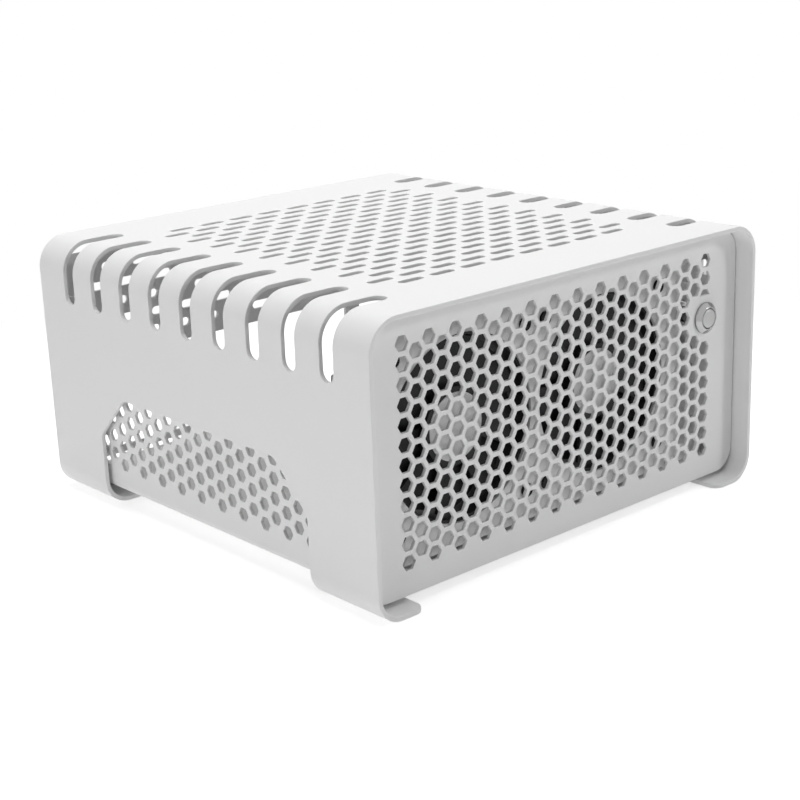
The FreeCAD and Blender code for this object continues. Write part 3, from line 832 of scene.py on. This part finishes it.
def background_rays(tree):
    """1 for the rays that show the background: those from the camera, a gloss or a clear piece."""
    seen = tree.nodes.new("ShaderNodeLightPath")
    total = seen.outputs["Is Camera Ray"]
    for kind in ("Is Glossy Ray", "Is Transmission Ray"):
        either = tree.nodes.new("ShaderNodeMath")
        either.operation = "MAXIMUM"
        tree.links.new(total, either.inputs[0])
        tree.links.new(seen.outputs[kind], either.inputs[1])
        total = either.outputs["Value"]
    return total


def mixed_shader(tree, share, first, second):
    mix = tree.nodes.new("ShaderNodeMixShader")
    tree.links.new(share, mix.inputs["Fac"])
    tree.links.new(first, mix.inputs[1])
    tree.links.new(second, mix.inputs[2])
    return mix.outputs["Shader"]


def floor_material():
    """Lifted to white for the background's rays, clear from below and for shadow rays, else only pale."""
    material = bpy.data.materials.new("floor")
    material.use_nodes = True
    tree = material.node_tree
    nodes = tree.nodes
    link = tree.links.new
    pale = nodes["Principled BSDF"]
    pale.inputs["Base Color"].default_value = (*FLOOR_PALE, 1)
    pale.inputs["Roughness"].default_value = FLOOR_ROUGHNESS
    lift = nodes.new("ShaderNodeEmission")
    lift.inputs["Strength"].default_value = FLOOR_LIFT
    near = nodes.new("ShaderNodeAddShader")
    link(pale.outputs["BSDF"], near.inputs[0])
    link(lift.outputs["Emission"], near.inputs[1])
    place = nodes.new("ShaderNodeTexCoord")
    reach = nodes.new("ShaderNodeVectorMath")
    reach.operation = "LENGTH"
    fade = nodes.new("ShaderNodeMapRange")
    fade.interpolation_type = "SMOOTHSTEP"
    fade.inputs["From Min"].default_value = SHADOW_NEAR
    fade.inputs["From Max"].default_value = SHADOW_FAR
    link(place.outputs["Object"], reach.inputs[0])
    link(reach.outputs["Value"], fade.inputs["Value"])
    rays = nodes.new("ShaderNodeLightPath")
    side_seen = nodes.new("ShaderNodeNewGeometry")
    through = nodes.new("ShaderNodeMath")
    through.operation = "MAXIMUM"
    link(side_seen.outputs["Backfacing"], through.inputs[0])
    link(rays.outputs["Is Shadow Ray"], through.inputs[1])
    white = nodes.new("ShaderNodeEmission")
    clear = nodes.new("ShaderNodeBsdfTransparent")
    shown = mixed_shader(tree, fade.outputs["Result"], near.outputs["Shader"], white.outputs["Emission"])
    upper = mixed_shader(tree, background_rays(tree), pale.outputs["BSDF"], shown)
    both = mixed_shader(tree, through.outputs["Value"], upper, clear.outputs["BSDF"])
    link(both, nodes["Material Output"].inputs["Surface"])
    return material


floor_mesh = bpy.data.meshes.new("floor")
work = bmesh.new()
bmesh.ops.create_grid(work, x_segments=1, y_segments=1, size=FLOOR_SIZE / 2)
work.to_mesh(floor_mesh)
work.free()
floor = bpy.data.objects.new("floor", floor_mesh)
floor.location.z = -FLOOR_GAP
bpy.context.scene.collection.objects.link(floor)
floor.data.materials.append(floor_material())

world = bpy.data.worlds.new("studio")
bpy.context.scene.world = world
world.use_nodes = True
sky = world.node_tree
ambient = sky.nodes["Background"]
backdrop = sky.nodes.new("ShaderNodeBackground")
for background, strength in ((ambient, AMBIENT), (backdrop, 1)):
    background.inputs["Color"].default_value = (1, 1, 1, 1)
    background.inputs["Strength"].default_value = strength
seen_sky = mixed_shader(
    sky, background_rays(sky), ambient.outputs["Background"], backdrop.outputs["Background"])
sky.links.new(seen_sky, sky.nodes["World Output"].inputs["Surface"])

case_middle = Vector((0, 0, shell_top / 2))
for name, place, size, power in LAMPS:
    lamp = bpy.data.lights.new(name, "AREA")
    lamp.shape = "SQUARE"
    lamp.size = size
    lamp.energy = power
    light = bpy.data.objects.new(name, lamp)
    bpy.context.scene.collection.objects.link(light)
    light.location = place
    light.rotation_euler = (case_middle - Vector(place)).to_track_quat("-Z", "Y").to_euler()


# Camera: at the photo's place, in front of the case, to its left and a little above it.
# Place, turn and lens come from a fit to the honeycomb, the slots, the vents and the outer edges.
YAW = math.radians(41.354)
PITCH = math.radians(17.413)
ROLL = math.radians(2.073)
LENS = 74.07
SENSOR_WIDTH = 36
CAMERA_PLACE = (-0.47983, -0.54675, 0.26816)
camera = bpy.data.objects.new("camera", bpy.data.cameras.new("camera"))
bpy.context.scene.collection.objects.link(camera)
ahead = Vector((math.sin(YAW) * math.cos(PITCH), math.cos(YAW) * math.cos(PITCH), -math.sin(PITCH)))
level = Vector((math.cos(YAW), -math.sin(YAW), 0))
down = ahead.cross(level)
right = math.cos(ROLL) * level + math.sin(ROLL) * down
up = math.sin(ROLL) * level - math.cos(ROLL) * down
turn = Matrix((right, up, -ahead)).transposed()
camera.matrix_world = Matrix.Translation(CAMERA_PLACE) @ turn.to_4x4()
camera.data.sensor_width = SENSOR_WIDTH
camera.data.lens = LENS
bpy.context.scene.camera = camera
bpy.context.scene.view_settings.view_transform = "Standard"
